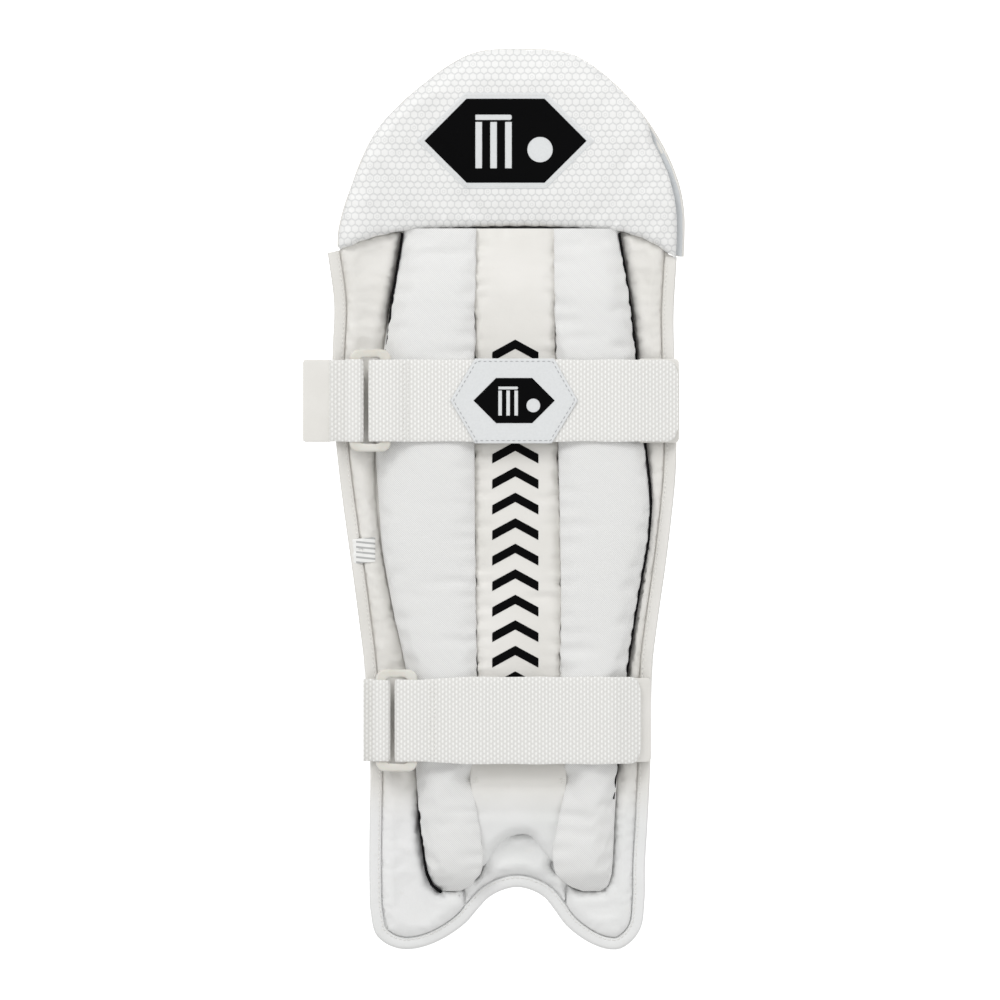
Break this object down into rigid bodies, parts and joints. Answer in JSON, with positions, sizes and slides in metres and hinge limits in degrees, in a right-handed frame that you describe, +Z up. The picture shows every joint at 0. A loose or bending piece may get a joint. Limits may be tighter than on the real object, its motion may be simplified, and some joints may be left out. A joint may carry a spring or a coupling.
{
  "type": "cricket leg pad",
  "caption": "Wicket-keeper's leg pad with padded shin bolsters, a knee dome and two hook-and-loop straps on slotted rings.",
  "frame": {"origin": "on the flat top of the centre bolster, where the shin bone rests, 260 mm above the foot of the pad", "axes": "+Z up the leg towards the knee, +Y out of the impact face, away from the leg, +X across the pad towards the straps' free ends"},
  "size_m": [0.2545, 0.0669, 0.603],
  "materials": {
    "smooth_leather": "smooth satin synthetic leather, warm white",
    "foam": "matt closed-cell foam",
    "stiffener_sheet": "thin polyethylene sheet",
    "label_satin": "white satin label",
    "cane": "split cane, matt",
    "twill_fabric": "fine diagonal twill, matt white",
    "black_trim": "black mesh side wall",
    "honeycomb_leather": "white synthetic leather with a printed honeycomb",
    "silver_film": "silver-grey satin film",
    "black_film": "black satin film",
    "webbing": "coarse woven off-white webbing",
    "hook_and_loop": "hook-and-loop tape, white",
    "ring_plastic": "moulded cream plastic, satin"
  },
  "bodies": {
    "shin": {"shin_lining": "smooth_leather", "shin_face": "smooth_leather", "shin_binding": "smooth_leather", "bolster_centre_cover": "smooth_leather", "wing_pad_left": "smooth_leather", "instep_pad": "smooth_leather", "wing_pad_right": "smooth_leather", "calf_landing_patch": "smooth_leather", "ankle_landing_patch": "smooth_leather", "calf_pull_tongue": "smooth_leather", "shin_rib_1": "smooth_leather", "shin_rib_2": "smooth_leather", "shin_rib_3": "smooth_leather", "shin_rib_4": "smooth_leather", "shin_rib_5": "smooth_leather", "shin_rib_6": "smooth_leather", "shin_rib_7": "smooth_leather", "shin_core": "foam", "bolster_left_foam": "foam", "bolster_centre_foam": "foam", "bolster_right_foam": "foam", "shin_stiffener": "stiffener_sheet", "care_label": "label_satin", "rib_cane_1": "cane", "rib_cane_2": "cane", "rib_cane_3": "cane", "rib_cane_4": "cane", "rib_cane_5": "cane", "rib_cane_6": "cane", "rib_cane_7": "cane", "bolster_left_cover": "twill_fabric", "bolster_right_cover": "twill_fabric", "bolster_gusset": "black_trim", "calf_tab_loop": "webbing", "ankle_tab_loop": "webbing"},
    "knee": {"knee_lining": "honeycomb_leather", "knee_pad_foam": "foam", "knee_stiffener": "stiffener_sheet", "knee_core": "foam", "knee_face": "smooth_leather", "knee_binding": "smooth_leather", "knee_roll_lower": "smooth_leather", "knee_roll_upper": "smooth_leather", "emblem_base": "silver_film", "emblem_mark": "black_film"},
    "calf_ring": {"calf_ring": "ring_plastic"},
    "calf_strap": {"calf_strap": "webbing", "calf_strap_lining": "hook_and_loop", "calf_hook_tape": "hook_and_loop", "calf_patch": "silver_film", "calf_patch_mark": "black_film"},
    "ankle_ring": {"ankle_ring": "ring_plastic"},
    "ankle_strap": {"ankle_strap": "webbing", "ankle_strap_lining": "hook_and_loop", "ankle_hook_tape": "hook_and_loop"}
  },
  "joints": [
    {"name": "knee_flex", "type": "hinge", "parent": "shin", "child": "knee", "pos_m": [-0.004, -0.008, 0.214], "axis": [1, 0, 0], "range_deg": [0, 10]},
    {"name": "calf_ring_swing", "type": "hinge", "parent": "shin", "child": "calf_ring", "pos_m": [-0.108, -0.0136, 0.1064], "axis": [0, 0, -1], "range_deg": [0, 60]},
    {"name": "calf_strap_open", "type": "hinge", "parent": "calf_ring", "child": "calf_strap", "pos_m": [-0.0875, -0.0136, 0.1064], "axis": [0, 0, -1], "range_deg": [0, 120]},
    {"name": "ankle_ring_swing", "type": "hinge", "parent": "shin", "child": "ankle_ring", "pos_m": [-0.0905, -0.0088, -0.1064], "axis": [0, 0, -1], "range_deg": [0, 60]},
    {"name": "ankle_strap_open", "type": "hinge", "parent": "ankle_ring", "child": "ankle_strap", "pos_m": [-0.07, -0.0088, -0.1064], "axis": [0, 0, -1], "range_deg": [0, 120]}
  ]
}
